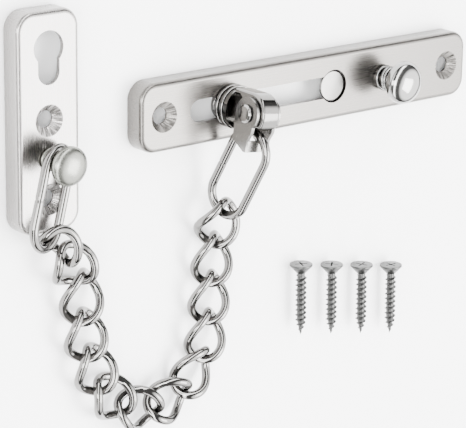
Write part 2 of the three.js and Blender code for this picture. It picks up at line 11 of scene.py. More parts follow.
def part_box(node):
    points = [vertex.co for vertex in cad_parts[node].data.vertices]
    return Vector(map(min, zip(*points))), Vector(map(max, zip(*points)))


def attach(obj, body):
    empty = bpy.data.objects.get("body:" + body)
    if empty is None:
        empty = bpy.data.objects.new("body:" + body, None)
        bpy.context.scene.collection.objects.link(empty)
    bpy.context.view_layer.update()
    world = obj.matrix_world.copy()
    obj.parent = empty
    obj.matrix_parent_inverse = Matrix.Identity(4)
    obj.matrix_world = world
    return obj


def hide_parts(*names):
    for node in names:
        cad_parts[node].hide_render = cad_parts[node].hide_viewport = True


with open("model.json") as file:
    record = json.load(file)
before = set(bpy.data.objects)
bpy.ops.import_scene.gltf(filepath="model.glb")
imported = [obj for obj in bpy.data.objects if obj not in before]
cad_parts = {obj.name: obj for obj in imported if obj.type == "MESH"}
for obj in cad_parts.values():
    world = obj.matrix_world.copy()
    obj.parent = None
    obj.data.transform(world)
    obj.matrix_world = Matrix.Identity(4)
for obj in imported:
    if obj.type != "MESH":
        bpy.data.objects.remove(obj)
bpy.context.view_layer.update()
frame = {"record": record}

MM = 0.001

# ---------- sizes, in millimetres ----------

GAP = 0.3

# Plates: pressed trays open at the back, with the rim at z = 0 and the face at FACE.
SHEET = 1.5
PLATE_WIDTH = 22.2
FACE = 7.2
UNDER_FACE = FACE - SHEET
PLATE_CORNER = 5.8
PLATE_BEND = 1.7
PLATE_INSIDE_BEND = 0.5
RIM_CHAMFER = 0.25
DOOR_PLATE_LENGTH = 138.0
DOOR_SCREW_X = 60.0
SLOT_START_X = -46.3
SLOT_RADIUS = 3.63
RELEASE_HOLE_X = 9.2
RELEASE_HOLE_RADIUS = 5.5
BUTTON_X = 31.0
JAMB_PLATE_LENGTH = 67.8
POST_Y = -10.9
JAMB_SCREW_YS = (0.8, -23.4)
KEYHOLE_Y = 22.7
KEYHOLE_RADIUS = 5.25
KEYHOLE_NECK_Y = 15.4
KEYHOLE_NECK_RADIUS = 3.8
COUNTERSINK_RADIUS = 4.9
COUNTERSINK_DEPTH = 2.4
SCREW_HOLE_RADIUS = 2.65
DIMPLE_WALL = 1.1

# Holes through a face are cut between these heights. Where two cutters join, one is the taller.
CUT_LOW = FACE - 4
CUT_HIGH = FACE + 2
TALL_CUT_LOW = FACE - 4.2
TALL_CUT_HIGH = FACE + 2.2

# Post on the jamb plate, and the release button with its spring, strip and disc.
POST_NECK_RADIUS = 2.8
KNOB_RADIUS = 6.1
KNOB_UNDERSIDE = 15.3
KNOB_TOP = 20.2
BUTTON_RADIUS = 7.0
BUTTON_UNDERSIDE = 15.2
BUTTON_TOP = 21.4
BUTTON_STEM_RADIUS = 2.5
BUTTON_COLLAR_RADIUS = 4.9
SPRING_COIL_RADIUS = 3.75
SPRING_WIRE_RADIUS = 0.5
SPRING_TURNS = 4.5
STRIP_TOP = UNDER_FACE - GAP
STRIP_THICKNESS = 0.9
STRIP_UNDERSIDE = STRIP_TOP - STRIP_THICKNESS
STRIP_LATCH_END_RADIUS = 3.5
STRIP_BUTTON_END_RADIUS = 4.5
LATCH_RIVET_RADIUS = 1.5
LATCH_RIVET_HEAD_RADIUS = 2.4
LATCH_DISC_RADIUS = 5.0
LATCH_DISC_TOP = 6.6

# Slider, swivel head and stirrup.
FLANGE_RADIUS = 7.0
FLANGE_TOP = 11.0
PIVOT_RADIUS = 1.6
HEAD_WIDTH = 6.7
HEAD_RADIUS = 6.6
HEAD_BASE = FLANGE_TOP + GAP
HEAD_BELOW_PIN = 3.8
HEAD_ROUNDING = 0.9
HEAD_ARM_SHEET = 2
HEAD_ARM_CORNER = 1.6
FOOT_SHEET = 1.5
PIN_HEIGHT = 20.6
PIN_RADIUS = 2.0
PIN_HEAD_RADIUS = 2.9
CHEEK_RADIUS = 5.2
CHEEK_SHEET = 1.1
BRIDGE_TOP = 8.4
BRIDGE_BOTTOM = 11.9
BRIDGE_FRONT = 1.6

# Chain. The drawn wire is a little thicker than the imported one, which the post link hangs by.
WIRE_RADIUS = 1.41
PACKED_WIRE_RADIUS = 1.35
CROSSING = 3.3
LINK_COUNT = 13
LINK_PITCH = 12.8
LINK_HALF_WIDTH = 6.4
LINK_TWIST = 45.0
END_LINK_LENGTH = 30.5
END_LINK_HALF_WIDTH = 7.0

# How the chain lies, angles in degrees. Rolls are about each link's run, for those that don't lie flat.
LINK_ROLLS = {1: 64.16, 2: 15.33, 13: -15.0}
POST_LINK_HEADING = -108.06
POST_LINK_ROLL = -23.62
POST_LINK_RISE = 2.3
POST_LINK_HEIGHT = 12.05
STIRRUP_LINK_HEADING = 82.1
STIRRUP_LINK_ROLL = -79.0
STIRRUP_LINK_APEX = PIN_HEIGHT + BRIDGE_FRONT - CHEEK_SHEET / 2

# Wood screws.
SCREW_COUNT = 4
SCREW_LENGTH = 25.0
SCREW_HEAD_RADIUS = 3.85
SCREW_HEAD_HEIGHT = 3.1
SCREW_CORE_RADIUS = 1.3
SCREW_CREST_RADIUS = 1.95
SCREW_TIP_LENGTH = 5.5
THREAD_PITCH = 1.75
RECESS_REACH = 2.2
RECESS_WIDTH = 0.55
RECESS_DEPTH = 2.0
SCREW_RUN = (0.017, -1, 0)   # from head to point
SCREW_TURN = 0.4             # radians, from one screw's recess to the next


# ---------- materials ----------

def material(name):
    made = bpy.data.materials.new(name)
    made.use_nodes = True
    return made, made.node_tree.nodes, made.node_tree.links


def metal(name, colour, rough_low, rough_high, grain, bump):
    """A metal with stretched noise in its roughness and height. grain is the noise's scale along x, y, z."""
    made, nodes, links = material(name)
    shader = nodes["Principled BSDF"]
    shader.inputs["Base Color"].default_value = (*colour, 1)
    shader.inputs["Metallic"].default_value = 1.0
    place = nodes.new("ShaderNodeTexCoord")
    stretch = nodes.new("ShaderNodeMapping")
    stretch.inputs["Scale"].default_value = grain
    noise = nodes.new("ShaderNodeTexNoise")
    noise.inputs["Scale"].default_value = 1.0
    noise.inputs["Detail"].default_value = 4.0
    links.new(place.outputs["Object"], stretch.inputs["Vector"])
    links.new(stretch.outputs["Vector"], noise.inputs["Vector"])
    spread = nodes.new("ShaderNodeMapRange")
    spread.inputs["From Min"].default_value = 0.3
    spread.inputs["From Max"].default_value = 0.7
    spread.inputs["To Min"].default_value = rough_low
    spread.inputs["To Max"].default_value = rough_high
    links.new(noise.outputs["Fac"], spread.inputs["Value"])
    links.new(spread.outputs["Result"], shader.inputs["Roughness"])
    relief = nodes.new("ShaderNodeBump")
    relief.inputs["Strength"].default_value = bump
    relief.inputs["Distance"].default_value = 0.0001
    links.new(noise.outputs["Fac"], relief.inputs["Height"])
    links.new(relief.outputs["Normal"], shader.inputs["Normal"])
    return made


LOOKS = {
    # The two plates are one satin steel in two greys: the door plate's darker grey is painted shade, the
    # jamb plate's lighter grey is painted light.
    "door_face_painted_shade": metal("satin_door_painted_shade", (0.135, 0.128, 0.120), 0.26, 0.31, (90, 4200, 900), 0.012),
    "jamb_face_painted_light": metal("satin_jamb_painted_light", (0.250, 0.240, 0.232), 0.25, 0.30, (4200, 90, 900), 0.012),
    "jamb_knob": metal("satin_knob", (0.170, 0.172, 0.155), 0.24, 0.32, (700, 700, 2600), 0.04),
    # The block is the bright nickel in a darker grey: painted shade for the dark ring between the cheek and
    # the block.
    "block": metal("block_painted_shade", (0.130, 0.127, 0.122), 0.09, 0.15, (300, 300, 300), 0.02),
    "cheek": metal("satin_cheek", (0.170, 0.166, 0.160), 0.20, 0.28, (300, 300, 300), 0.03),
    "knob": metal("polished_knob", (0.230, 0.227, 0.222), 0.10, 0.16, (700, 700, 2600), 0.04),
    "bright": metal("bright_nickel", (0.190, 0.186, 0.180), 0.07, 0.13, (300, 300, 300), 0.02),
    "wire": metal("bright_wire", (0.150, 0.146, 0.141), 0.07, 0.13, (260, 260, 260), 0.03),
    "spring": metal("spring_steel", (0.22, 0.22, 0.215), 0.16, 0.26, (500, 500, 500), 0.05),
    "strip": metal("strip_steel", (0.20, 0.20, 0.195), 0.28, 0.40, (90, 2400, 900), 0.10),
    "screw": metal("dull_zinc", (0.062, 0.062, 0.061), 0.28, 0.42, (900, 900, 900), 0.12),
}


# ---------- mesh helpers ----------

def make(name, vertices, faces, look, sharp=38.0):
    """An object from points in millimetres and faces, with one of LOOKS."""
    mesh = bpy.data.meshes.new(name)
    mesh.from_pydata([Vector(v) * MM for v in vertices], [], faces)
    mesh.validate()
    tidy = bmesh.new()
    tidy.from_mesh(mesh)
    bmesh.ops.remove_doubles(tidy, verts=tidy.verts, dist=1e-7)
    bmesh.ops.recalc_face_normals(tidy, faces=tidy.faces)
    tidy.to_mesh(mesh)
    tidy.free()
    mesh.materials.append(LOOKS[look])
    obj = bpy.data.objects.new(name, mesh)
    bpy.context.scene.collection.objects.link(obj)
    smooth(obj, sharp)
    return obj


def smooth(obj, sharp):
    """Smooth shading, with edges sharper than so many degrees kept."""
    obj.data.shade_smooth()
    obj.data.set_sharp_from_angle(angle=math.radians(sharp))


def bake(obj):
    """Replaces obj's mesh by what its modifiers make of it."""
    graph = bpy.context.evaluated_depsgraph_get()
    mesh = bpy.data.meshes.new_from_object(obj.evaluated_get(graph))
    obj.modifiers.clear()
    obj.data = mesh
    return obj


def combine(obj, others, operation):
    """Joins others to obj or cuts them out of it, and deletes them."""
    for other in others:
        step = obj.modifiers.new("cut", "BOOLEAN")
        step.operation = operation
        step.solver = "EXACT"
        step.object = other
        bake(obj)
        bpy.data.objects.remove(other)
    return obj


def bevelled(obj, width, segments, angle=40.0, sharp=38.0):
    step = obj.modifiers.new("bevel", "BEVEL")
    step.width = width * MM
    step.segments = segments
    step.limit_method = "ANGLE"
    step.angle_limit = math.radians(angle)
    step.miter_outer = "MITER_ARC"
    step.use_clamp_overlap = True
    bake(obj)
    smooth(obj, sharp)
    weigh = obj.modifiers.new("flat_faces", "WEIGHTED_NORMAL")
    weigh.keep_sharp = True
    bake(obj)
    return obj


def fillets(profile, radius, steps=4):
    """Rounds each inner corner of a profile by an arc that touches both of its sides."""
    points = [Vector(p) for p in profile]
    out = [points[0]]
    for before, here, after in zip(points, points[1:], points[2:]):
        a = before - here
        b = after - here
        turn = a.angle(b) if a.length and b.length else math.pi
        if turn > math.radians(160):
            out.append(here)
            continue
        reach = min(radius / math.tan(turn / 2), 0.45 * a.length, 0.45 * b.length)
        size = reach * math.tan(turn / 2)
        start = here + a.normalized() * reach
        end = here + b.normalized() * reach
        middle = here + (a.normalized() + b.normalized()).normalized() * (size / math.sin(turn / 2))
        for k in range(steps + 1):
            spoke = (start - middle).lerp(end - middle, k / steps)
            out.append(middle + spoke.normalized() * size)
    return [tuple(p) for p in (*out, points[-1])]


def lathe(name, profile, look, round_by=0.0, segments=72):
    """Turns (radius, z) points about the z axis. The profile starts and ends on the axis."""
    points = fillets(profile, round_by) if round_by else profile
    vertices = []
    rings = []
    for radius, z in points:
        if radius < 1e-6:
            rings.append([len(vertices)])
            vertices.append((0, 0, z))
            continue
        rings.append(list(range(len(vertices), len(vertices) + segments)))
        for k in range(segments):
            angle = 2 * math.pi * k / segments
            vertices.append((radius * math.cos(angle), radius * math.sin(angle), z))
    return make(name, vertices, ring_faces(rings), look)


def ring_faces(rings):
    """Joins each ring of vertices to the next. A ring of one vertex closes the end to a point."""
    faces = []
    for low, high in zip(rings, rings[1:]):
        count = max(len(low), len(high))
        for k in range(count):
            n = (k + 1) % count
            if len(low) == 1 and len(high) > 1:
                faces.append((low[0], high[k], high[n]))
            elif len(high) == 1 and len(low) > 1:
                faces.append((low[k], high[0], low[n]))
            elif len(low) > 1:
                faces.append((low[k], high[k], high[n], low[n]))
    return faces


def prism(name, outline, bottom, top, look="bright", basis=None):
    """A straight block on a closed outline. basis takes (outline x, outline y, height) to x, y, z."""
    count = len(outline)
    vertices = [(x, y, bottom) for x, y in outline] + [(x, y, top) for x, y in outline]
    if basis is not None:
        vertices = [basis @ Vector(v) for v in vertices]
    faces = [tuple(range(count)), tuple(range(count, 2 * count))]
    faces += [(k, (k + 1) % count, count + (k + 1) % count, count + k) for k in range(count)]
    return make(name, vertices, faces, look)


def arc(x, y, radius, start, end, steps):
    """Points on a circle, from one angle to another in degrees."""
    angles = [math.radians(start + (end - start) * k / steps) for k in range(steps + 1)]
    return [(x + radius * math.cos(a), y + radius * math.sin(a)) for a in angles]


def disc(radius, bottom, top, x=0.0):
    return prism("cutter", arc(x, 0, radius, 0, 360, 72)[:-1], bottom, top)


def put(obj, body, node, matrix=None):
    """Places a piece, in millimetres, rides it on its body and hides the CAD node it stands for."""
    if matrix is not None:
        place = matrix.copy()
        place.translation = matrix.translation * MM
        obj.matrix_world = place
    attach(obj, body)
    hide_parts(node)
    return obj


def moved(x, y):
    return Matrix.Translation(Vector((x, y, 0)))


def shifted(obj, x):
    """Moves obj's own mesh along x, in millimetres."""
    obj.data.transform(Matrix.Translation(Vector((x, 0, 0)) * MM))
    return obj


# ---------- where things are, from the frame ----------

def centre_of(node):
    low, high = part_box(node)
    return (low + high) / (2 * MM)


joint_rows = frame["record"]["behaviour"]["joints"]
JOINTS = {row["name"]: Vector(row["pos_m"]) / MM for row in joint_rows if "pos_m" in row}
door = centre_of("door_plate")
jamb = centre_of("jamb_plate")
post = JOINTS["jamb_plate_turn"]
stud = JOINTS["head_swivel"]


# ---------- pressed plates ----------

def rounded_outline(length, width, radius):
    x = length / 2 - radius
    y = width / 2 - radius
    corners = [(x, y), (-x, y), (-x, -y), (x, -y)]
    outline = []
    for quarter, (across, along) in enumerate(corners):
        outline += arc(across, along, radius, 90 * quarter, 90 * (quarter + 1), 14)
    return outline


def bend(inset, height, radius, steps=8):
    """Points (inset, z) round a bent edge, from its wall up to its face at a height."""
    angles = [math.pi / 2 * k / steps for k in range(steps + 1)]
    return [(inset + radius * (1 - math.cos(a)), height - radius + radius * math.sin(a)) for a in angles]


def tray(name, length, look):
    """Open-backed tray: outside wall, bent edge and face, then the same on the inside, joined at the rim."""
    outer = [(RIM_CHAMFER, 0.0), (0.0, RIM_CHAMFER)] + bend(0, FACE, PLATE_BEND)
    inner = [(SHEET - RIM_CHAMFER, 0.0), (SHEET, RIM_CHAMFER)] + bend(SHEET, UNDER_FACE, PLATE_INSIDE_BEND)
    rings = list(reversed(outer)) + inner
    vertices = []
    ids = []
    for inset, z in rings:
        corner = max(PLATE_CORNER - inset, 0.4)
        outline = rounded_outline(length - 2 * inset, PLATE_WIDTH - 2 * inset, corner)
        ids.append(list(range(len(vertices), len(vertices) + len(outline))))
        vertices += [(x, y, z) for x, y in outline]
    faces = ring_faces(ids) + [tuple(ids[0]), tuple(ids[-1])]
    return make(name, vertices, faces, look)


def dimple(x):
    """Metal pressed inwards round a screw hole."""
    bottom = FACE - COUNTERSINK_DEPTH - 0.6
    top = UNDER_FACE + 0.4
    body = lathe("dimple", [
        (0, bottom), (SCREW_HOLE_RADIUS + DIMPLE_WALL, bottom),
        (COUNTERSINK_RADIUS + DIMPLE_WALL, top), (0, top)], "door_face_painted_shade")
    return shifted(body, x)


def countersink(x):
    """Cutter for a screw hole and its cone."""
    cone = lathe("cone", [
        (0, 1), (SCREW_HOLE_RADIUS, 1), (SCREW_HOLE_RADIUS, FACE - COUNTERSINK_DEPTH),
        (COUNTERSINK_RADIUS, FACE + 0.02), (COUNTERSINK_RADIUS, FACE + 1), (0, FACE + 1)], "door_face_painted_shade")
    return shifted(cone, x)


def round_slot(x1, x2, radius):
    outline = arc(x1, 0, radius, 90, 270, 32) + arc(x2, 0, radius, -90, 90, 32)
    return prism("slot", outline, CUT_LOW, CUT_HIGH)


def finish_plate(plate, holes, cutters):
    """Adds the screw holes at their places along x, cuts the rest and breaks the edges."""
    combine(plate, [dimple(x) for x in holes], "UNION")
    combine(plate, [countersink(x) for x in holes] + cutters, "DIFFERENCE")
    return bevelled(plate, 0.2, 2, 42, 60)


def door_plate():
    # The door plate takes the darker satin grey, which is painted shade.
    plate = tray("door_plate_pressing", DOOR_PLATE_LENGTH, "door_face_painted_shade")
    slot = round_slot(SLOT_START_X, RELEASE_HOLE_X, SLOT_RADIUS)
    ring = disc(RELEASE_HOLE_RADIUS, TALL_CUT_LOW, TALL_CUT_HIGH, RELEASE_HOLE_X)
    stem = disc(BUTTON_STEM_RADIUS + GAP, CUT_LOW, CUT_HIGH, BUTTON_X)
    finish_plate(plate, (-DOOR_SCREW_X, DOOR_SCREW_X), [combine(slot, [ring], "UNION"), stem])
    put(plate, "door_plate", "door_plate", moved(door.x, door.y))


def jamb_plate():
    """Made lying along x, then stood along y."""
    # The jamb plate takes the lighter satin grey, which is painted light.
    plate = tray("jamb_plate_pressing", JAMB_PLATE_LENGTH, "jamb_face_painted_light")
    neck = round_slot(KEYHOLE_NECK_Y, KEYHOLE_Y, KEYHOLE_NECK_RADIUS)
    eye = disc(KEYHOLE_RADIUS, TALL_CUT_LOW, TALL_CUT_HIGH, KEYHOLE_Y)
    rivet = disc(POST_NECK_RADIUS + GAP, CUT_LOW, CUT_HIGH, POST_Y)
    finish_plate(plate, JAMB_SCREW_YS, [combine(neck, [eye], "UNION"), rivet])
    plate.data.transform(Matrix.Rotation(math.pi / 2, 4, "Z"))
    put(plate, "jamb_plate", "jamb_plate", moved(jamb.x, jamb.y))


# ---------- knobs, button and latch ----------

def dome(radius, rim, top, steps=20):
    """Profile points from the rim of a domed top to its middle."""
    angles = [math.pi / 2 * k / steps for k in range(steps + 1)]
    points = [(radius * math.cos(a), rim + (top - rim) * math.sin(a)) for a in angles]
    points[-1] = (0, top)
    return points


def jamb_post():
    profile = fillets([
        (0, UNDER_FACE - 1.5), (4.2, UNDER_FACE - 1.5), (4.6, UNDER_FACE - 1.1), (4.6, UNDER_FACE - GAP),
        (POST_NECK_RADIUS, UNDER_FACE - GAP), (POST_NECK_RADIUS, FACE + GAP), (3.6, FACE + GAP),
        (3.6, FACE + 0.9), (POST_NECK_RADIUS, FACE + 1.3), (POST_NECK_RADIUS, KNOB_UNDERSIDE),
        (KNOB_RADIUS - 1.2, KNOB_UNDERSIDE + 0.4), (KNOB_RADIUS - 0.1, KNOB_UNDERSIDE + 1.3),
        (KNOB_RADIUS, KNOB_UNDERSIDE + 1.9)], 0.4) + dome(KNOB_RADIUS, KNOB_UNDERSIDE + 2, KNOB_TOP)
    knob = lathe("jamb_post_knob", profile, "jamb_knob")
    put(knob, "jamb_plate", "jamb_post", moved(post.x, post.y))


button_place = moved(door.x + BUTTON_X, door.y)


def release_button():
    bottom = STRIP_UNDERSIDE - 0.6
    collar = BUTTON_UNDERSIDE + 1
    profile = fillets([
        (0, bottom), (BUTTON_STEM_RADIUS, bottom), (BUTTON_STEM_RADIUS, collar),
        (BUTTON_COLLAR_RADIUS, collar), (BUTTON_COLLAR_RADIUS, BUTTON_UNDERSIDE),
        (BUTTON_RADIUS - 0.9, BUTTON_UNDERSIDE), (BUTTON_RADIUS - 0.05, BUTTON_UNDERSIDE + 1.1),
        (BUTTON_RADIUS, BUTTON_UNDERSIDE + 2.1),
    ], 0.3) + dome(BUTTON_RADIUS, BUTTON_UNDERSIDE + 2.2, BUTTON_TOP)
    knob = lathe("release_button_knob", profile, "knob")
    put(knob, "release_catch", "release_button", button_place)


def button_spring(steps=260, sides=12):
    """Helix whose coils lie closer at both ends and in the middle. The wire thins at its two ends."""
    low = FACE + GAP + SPRING_WIRE_RADIUS
    high = BUTTON_UNDERSIDE + 1 - GAP - SPRING_WIRE_RADIUS
    vertices = []
    rings = []
    for i in range(steps + 1):
        t = i / steps
        angle = t * SPRING_TURNS * 2 * math.pi
        inside = 0 < i < steps
        eased = t - 0.06 * math.sin(2 * math.pi * t * 2) if inside else t
        taper = 1.0 if inside else 0.6
        out = Vector((math.cos(angle), math.sin(angle), 0))
        centre = out * SPRING_COIL_RADIUS + Vector((0, 0, low + (high - low) * eased))
        rings.append(list(range(len(vertices), len(vertices) + sides)))
        for k in range(sides):
            turn = 2 * math.pi * k / sides
            spoke = out * math.cos(turn) + Vector((0, 0, math.sin(turn)))
            vertices.append(centre + spoke * SPRING_WIRE_RADIUS * taper)
    faces = ring_faces(rings) + [tuple(rings[0]), tuple(rings[-1])]
    coil = make("button_spring_coil", vertices, faces, "spring")
    put(coil, "release_catch", "button_spring", button_place)


def latch_strip():
    reach = BUTTON_X - RELEASE_HOLE_X
    outline = (arc(-reach, 0, STRIP_LATCH_END_RADIUS, 90, 270, 24)
               + arc(0, 0, STRIP_BUTTON_END_RADIUS, -90, 90, 24))
    strip = prism("latch_strip_plate", outline, STRIP_UNDERSIDE, STRIP_TOP, "strip")
    stem_hole = disc(BUTTON_STEM_RADIUS + GAP, 0, FACE)
    rivet_hole = disc(LATCH_RIVET_RADIUS + GAP, 0, FACE, -reach)
    combine(strip, [stem_hole, rivet_hole], "DIFFERENCE")
    put(bevelled(strip, 0.12, 2), "release_catch", "latch_strip", button_place)


def latch_disc():
    rivet_head = STRIP_UNDERSIDE - GAP
    latch = lathe("latch_disc_face", [
        (0, rivet_head - 0.5), (LATCH_RIVET_HEAD_RADIUS, rivet_head - 0.5),
        (LATCH_RIVET_HEAD_RADIUS, rivet_head), (LATCH_RIVET_RADIUS, rivet_head),
        (LATCH_RIVET_RADIUS, STRIP_TOP + GAP), (LATCH_DISC_RADIUS, STRIP_TOP + GAP),
        (LATCH_DISC_RADIUS, LATCH_DISC_TOP), (0, LATCH_DISC_TOP)], "cheek", 0.35)
    put(latch, "release_catch", "latch_disc", moved(door.x + RELEASE_HOLE_X, door.y))


# ---------- slider, swivel head and stirrup ----------

def slider_stud():
    top = HEAD_BASE + FOOT_SHEET + GAP
    profile = [
        (0, 3.3), (4.9, 3.3), (5.2, 3.6), (5.2, 5), (3.3, 5.3), (3.3, FACE + GAP),
        (FLANGE_RADIUS, FACE + GAP), (FLANGE_RADIUS, 8.7), (FLANGE_RADIUS - 0.9, 8.9),
        (FLANGE_RADIUS - 0.9, 9.5), (FLANGE_RADIUS, 9.7), (FLANGE_RADIUS, FLANGE_TOP),
        (PIVOT_RADIUS, FLANGE_TOP), (PIVOT_RADIUS, top), (2.6, top), (2.3, top + 0.7), (0, top + 0.75)]
    turned = lathe("slider_stud_turned", profile, "bright", 0.28)
    put(turned, "slider", "slider_stud", moved(stud.x, stud.y))


swivel_place = moved(stud.x, stud.y) @ Matrix.Rotation(math.radians(STIRRUP_LINK_HEADING - 90), 4, "Z")
# Outlines of the head and stirrup are drawn in y and z, with their thickness along x.
ACROSS = Matrix(((0, 0, 1), (1, 0, 0), (0, 1, 0)))


def pin_cutter(radius, length):
    outline = arc(0, PIN_HEIGHT, radius, 0, 360, 48)[:-1]
    return prism("across", outline, -length / 2, length / 2, basis=ACROSS)


def swivel_head():
    """Round block on the pin, an arm down its back and a foot disc on the stud."""
    arm = HEAD_RADIUS - HEAD_ARM_SHEET
    underside = PIN_HEIGHT - 4.4
    end = math.degrees(math.acos(-HEAD_BELOW_PIN / HEAD_RADIUS))
    outline = [
        (-HEAD_BELOW_PIN, underside), (arm - HEAD_ARM_CORNER, underside), (arm, PIN_HEIGHT - 6),
        (arm, HEAD_BASE + 0.4), (HEAD_RADIUS, HEAD_BASE + 0.4)] + arc(0, PIN_HEIGHT, HEAD_RADIUS, 0, end, 28)
    # The block's darker grey is painted shade.
    head = prism("swivel_head_block", outline, -HEAD_WIDTH / 2, HEAD_WIDTH / 2, "block", ACROSS)
    bevelled(head, HEAD_ROUNDING, 5, 60)
    foot = disc(HEAD_RADIUS, HEAD_BASE, HEAD_BASE + FOOT_SHEET)
    combine(head, [foot], "UNION")
    pivot_hole = disc(PIVOT_RADIUS + GAP, HEAD_BASE - 1, HEAD_BASE + FOOT_SHEET + 1)
    combine(head, [pivot_hole, pin_cutter(PIN_RADIUS + GAP, 20)], "DIFFERENCE")
    put(bevelled(head, 0.15, 2, 50), "swivel_head", "swivel_head", swivel_place)


def stirrup_pin():
    outside = HEAD_WIDTH / 2 + 2 * GAP + CHEEK_SHEET
    rivet = [(0, -outside - 0.95), (2.3, -outside - 0.85), (PIN_HEAD_RADIUS, -outside - 0.4),
             (PIN_HEAD_RADIUS, -outside), (PIN_RADIUS, -outside), (PIN_RADIUS, outside),
             (PIN_HEAD_RADIUS, outside), (PIN_HEAD_RADIUS, outside + 0.4), (2.3, outside + 0.85),
             (0, outside + 0.95)]
    pin = lathe("stirrup_pin_rivet", rivet, "bright", 0.3, 48)
    raised = Matrix.Translation((0, 0, PIN_HEIGHT * MM))
    pin.data.transform(raised @ Matrix.Rotation(math.pi / 2, 4, "Y"))
    put(pin, "swivel_head", "stirrup_pin", swivel_place)


def stirrup():
    """Two cheeks, outlined from the pin, and the bridge that joins them."""
    inside = HEAD_WIDTH / 2 + GAP
    outline = [(-8.8, -CHEEK_RADIUS), (-BRIDGE_BOTTOM, BRIDGE_FRONT - 1.2), (-BRIDGE_BOTTOM, BRIDGE_FRONT),
               (-BRIDGE_TOP, BRIDGE_FRONT), (-5.6, 3.2), (-3.9, CHEEK_RADIUS * 0.66)]
    outline += arc(0, 0, CHEEK_RADIUS, 138.6, -90, 36)
    outline = [(y, z + PIN_HEIGHT) for y, z in outline]
    piece = prism("stirrup_bent", outline, inside, inside + CHEEK_SHEET, "cheek", ACROSS)
    far = prism("cheek", outline, -inside - CHEEK_SHEET, -inside, basis=ACROSS)
    front = PIN_HEIGHT + BRIDGE_FRONT
    back = PIN_HEIGHT + BRIDGE_FRONT - CHEEK_SHEET
    across = inside + CHEEK_SHEET / 2
    section = [(-BRIDGE_BOTTOM, back), (-BRIDGE_TOP, back), (-BRIDGE_TOP, front), (-BRIDGE_BOTTOM, front)]
    bridge = prism("bridge", section, -across, across, basis=ACROSS)
    combine(piece, [far, bridge], "UNION")
    combine(piece, [pin_cutter(PIN_RADIUS + GAP, 30)], "DIFFERENCE")
    put(bevelled(piece, 0.18, 2, 50), "stirrup", "stirrup", swivel_place)


# ---------- chain ----------

def facing(direction, roll=0.0):
    """Local x along a direction and local z as near up as it can be, then rolled about the direction."""
    along = direction.normalized()
    side = Vector((0, 0, 1)).cross(along).normalized()
    up = along.cross(side)
    turn = Matrix((along, side, up)).transposed().to_quaternion()
    return turn @ Quaternion((1, 0, 0), math.radians(roll))


def headed(degrees, length, rise):
    """A run of a given length on a heading, with a given rise from its start to its end."""
    level = math.sqrt(length * length - rise * rise)
    angle = math.radians(degrees)
    return Vector((level * math.cos(angle), level * math.sin(angle), rise))


def closed_wire(name, path, across, thickness, steps, sides=20):
    """Round wire on a closed path. across gives a direction off its tangent, thickness its radius."""
    vertices = []
    rings = []
    for i in range(steps):
        t = i / steps
        centre = path(t)
        tangent = (path((i + 0.5) / steps) - path((i - 0.5) / steps)).normalized()
        a = across(t)
        a = (a - tangent * a.dot(tangent)).normalized()
        b = tangent.cross(a)
        radius = thickness(t)
        rings.append(list(range(len(vertices), len(vertices) + sides)))
        for k in range(sides):
            turn = 2 * math.pi * k / sides
            vertices.append(centre + a * radius * math.cos(turn) + b * radius * math.sin(turn))
    return make(name, vertices, ring_faces(rings + [rings[0]]), "wire", 60)


def weld(t, at, length, width=0.35, depth=0.1):
    """Wire radius at t of a wire of a given length, with a shallow groove at its butt joint."""
    away = min(abs(t - at), 1 - abs(t - at)) * length
    return WIRE_RADIUS * (1 - depth * math.exp(-(away / width) ** 2))


def curb_link(name):
    """Oval loop from x = 0 to the pitch, twisted about x."""
    half = (LINK_PITCH + CROSSING) / 2
    middle = LINK_PITCH / 2
    wire_length = 45

    def twist(x):
        return math.radians(LINK_TWIST) * (x - middle) / half

    def path(t):
        angle = t * 2 * math.pi
        x = middle - half * math.cos(angle)
        y = LINK_HALF_WIDTH * math.sin(angle)
        return Vector((x, y * math.cos(twist(x)), y * math.sin(twist(x))))

    def across(t):
        turn = twist(path(t).x)
        return Vector((0, -math.sin(turn), math.cos(turn)))

    return closed_wire(name, path, across, lambda t: weld(t, 0.25, wire_length, 0.3, 0.05), 110)


def end_link(name, start, joint_at):
    """Long loop from x = start, with round ends. joint_at places its butt joint, from 0 to 1 round it."""
    straight = END_LINK_LENGTH - 2 * END_LINK_HALF_WIDTH
    curve = math.pi * END_LINK_HALF_WIDTH
    total = 2 * (curve + straight)
    near = start + END_LINK_HALF_WIDTH
    far = start + END_LINK_LENGTH - END_LINK_HALF_WIDTH

    def on_bend(centre, angle):
        x = centre + END_LINK_HALF_WIDTH * math.cos(angle)
        return Vector((x, END_LINK_HALF_WIDTH * math.sin(angle), 0))

    def path(t):
        s = ((t + 1) % 1) * total
        if s < curve:
            return on_bend(near, 1.5 * math.pi - s / END_LINK_HALF_WIDTH)
        if s < curve + straight:
            return Vector((near + s - curve, END_LINK_HALF_WIDTH, 0))
        if s < 2 * curve + straight:
            return on_bend(far, 0.5 * math.pi - (s - curve - straight) / END_LINK_HALF_WIDTH)
        return Vector((far - (s - 2 * curve - straight), -END_LINK_HALF_WIDTH, 0))

    return closed_wire(name, path, lambda t: Vector((0, 0, 1)), lambda t: weld(t, joint_at, total), 260)


def laid(start, run, roll=0.0):
    """Place of a piece whose x axis starts at a point and follows a run, rolled about it."""
    return Matrix.Translation(start) @ facing(run, roll).to_matrix().to_4x4()


def curb_links():
    near = JOINTS["post_link_turn"]
    for i in range(1, LINK_COUNT + 1):
        node = f"chain_link_{i:02d}"
        far = JOINTS[f"link_{i:02d}_turn"]
        place = laid(near, far - near, LINK_ROLLS.get(i, 0.0))
        put(curb_link(f"curb_link_{i:02d}"), node, node, place)
        near = far


def post_link():
    behind = POST_NECK_RADIUS + PACKED_WIRE_RADIUS + GAP
    run = headed(POST_LINK_HEADING, END_LINK_LENGTH - behind, POST_LINK_RISE)
    place = laid(Vector((post.x, post.y, POST_LINK_HEIGHT)), run, POST_LINK_ROLL)
    put(end_link("end_link_post", -behind, 0.88), "post_link", "post_link", place)


